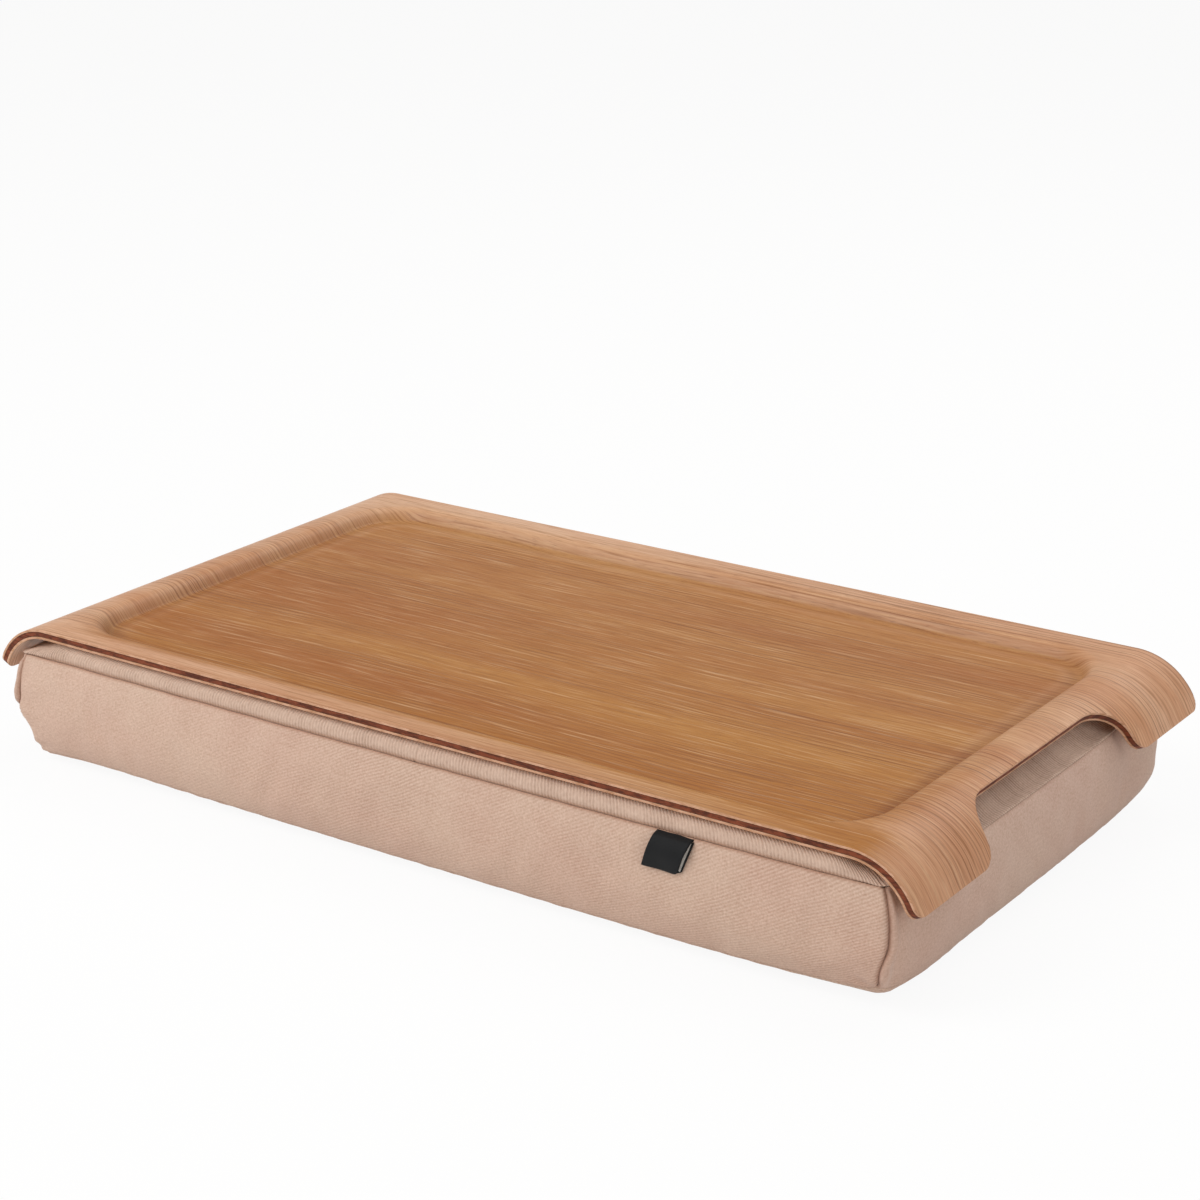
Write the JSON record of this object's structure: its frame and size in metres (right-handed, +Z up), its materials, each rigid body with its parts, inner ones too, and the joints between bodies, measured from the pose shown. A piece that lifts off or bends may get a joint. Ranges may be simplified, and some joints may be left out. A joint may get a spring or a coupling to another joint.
{
  "type": "lap tray",
  "caption": "Moulded plywood tray with a shallow recess and rolled ends with hand grips, on a bead-filled fabric cushion that comes off.",
  "frame": {"origin": "middle of the cushion's underside, on the surface the tray lies on", "axes": "+X along the tray to the right-hand grip, +Y from the front edge to the back edge, +Z up"},
  "size_m": [0.43, 0.2369, 0.06],
  "materials": {
    "face_veneer": "satin-lacquered veneer with fine straight grain along the tray",
    "core_ply": "dark red-brown core seen at the cut edge",
    "back_veneer": "pale veneer, lacquered",
    "front_panel": "dusty beige twill, matt",
    "right_end_panel": "dusty beige cloth, matt",
    "back_panel": "dusty beige twill, matt",
    "left_end_panel": "dusty beige cloth, matt",
    "rib_band": "dusty beige ribbed cloth, matt",
    "top_panel": "dusty beige cloth, matt",
    "base_panel": "dusty beige cloth, matt",
    "inner_bag": "thin off-white lining cloth",
    "bead_fill": "white expanded polystyrene beads",
    "woven_label": "black woven ribbon, blank",
    "hook_tape": "black hook tape",
    "loop_tape": "black loop tape"
  },
  "bodies": {
    "cushion": {"front_panel": "front_panel", "right_end_panel": "right_end_panel", "back_panel": "back_panel", "left_end_panel": "left_end_panel", "rib_band": "rib_band", "top_panel": "top_panel", "base_panel": "base_panel", "inner_bag": "inner_bag", "bead_fill": "bead_fill", "woven_label": "woven_label", "loop_tape_front_left": "loop_tape", "loop_tape_front_right": "loop_tape", "loop_tape_back_left": "loop_tape", "loop_tape_back_right": "loop_tape"},
    "tray": {"face_veneer": "face_veneer", "core_ply": "core_ply", "back_veneer": "back_veneer", "hook_tape_front_left": "hook_tape", "hook_tape_front_right": "hook_tape", "hook_tape_back_left": "hook_tape", "hook_tape_back_right": "hook_tape"}
  },
  "joints": [
    {"name": "tray_lift", "type": "slide", "parent": "cushion", "child": "tray", "axis": [0, 0, 1], "range_m": [0, 0.1]}
  ]
}
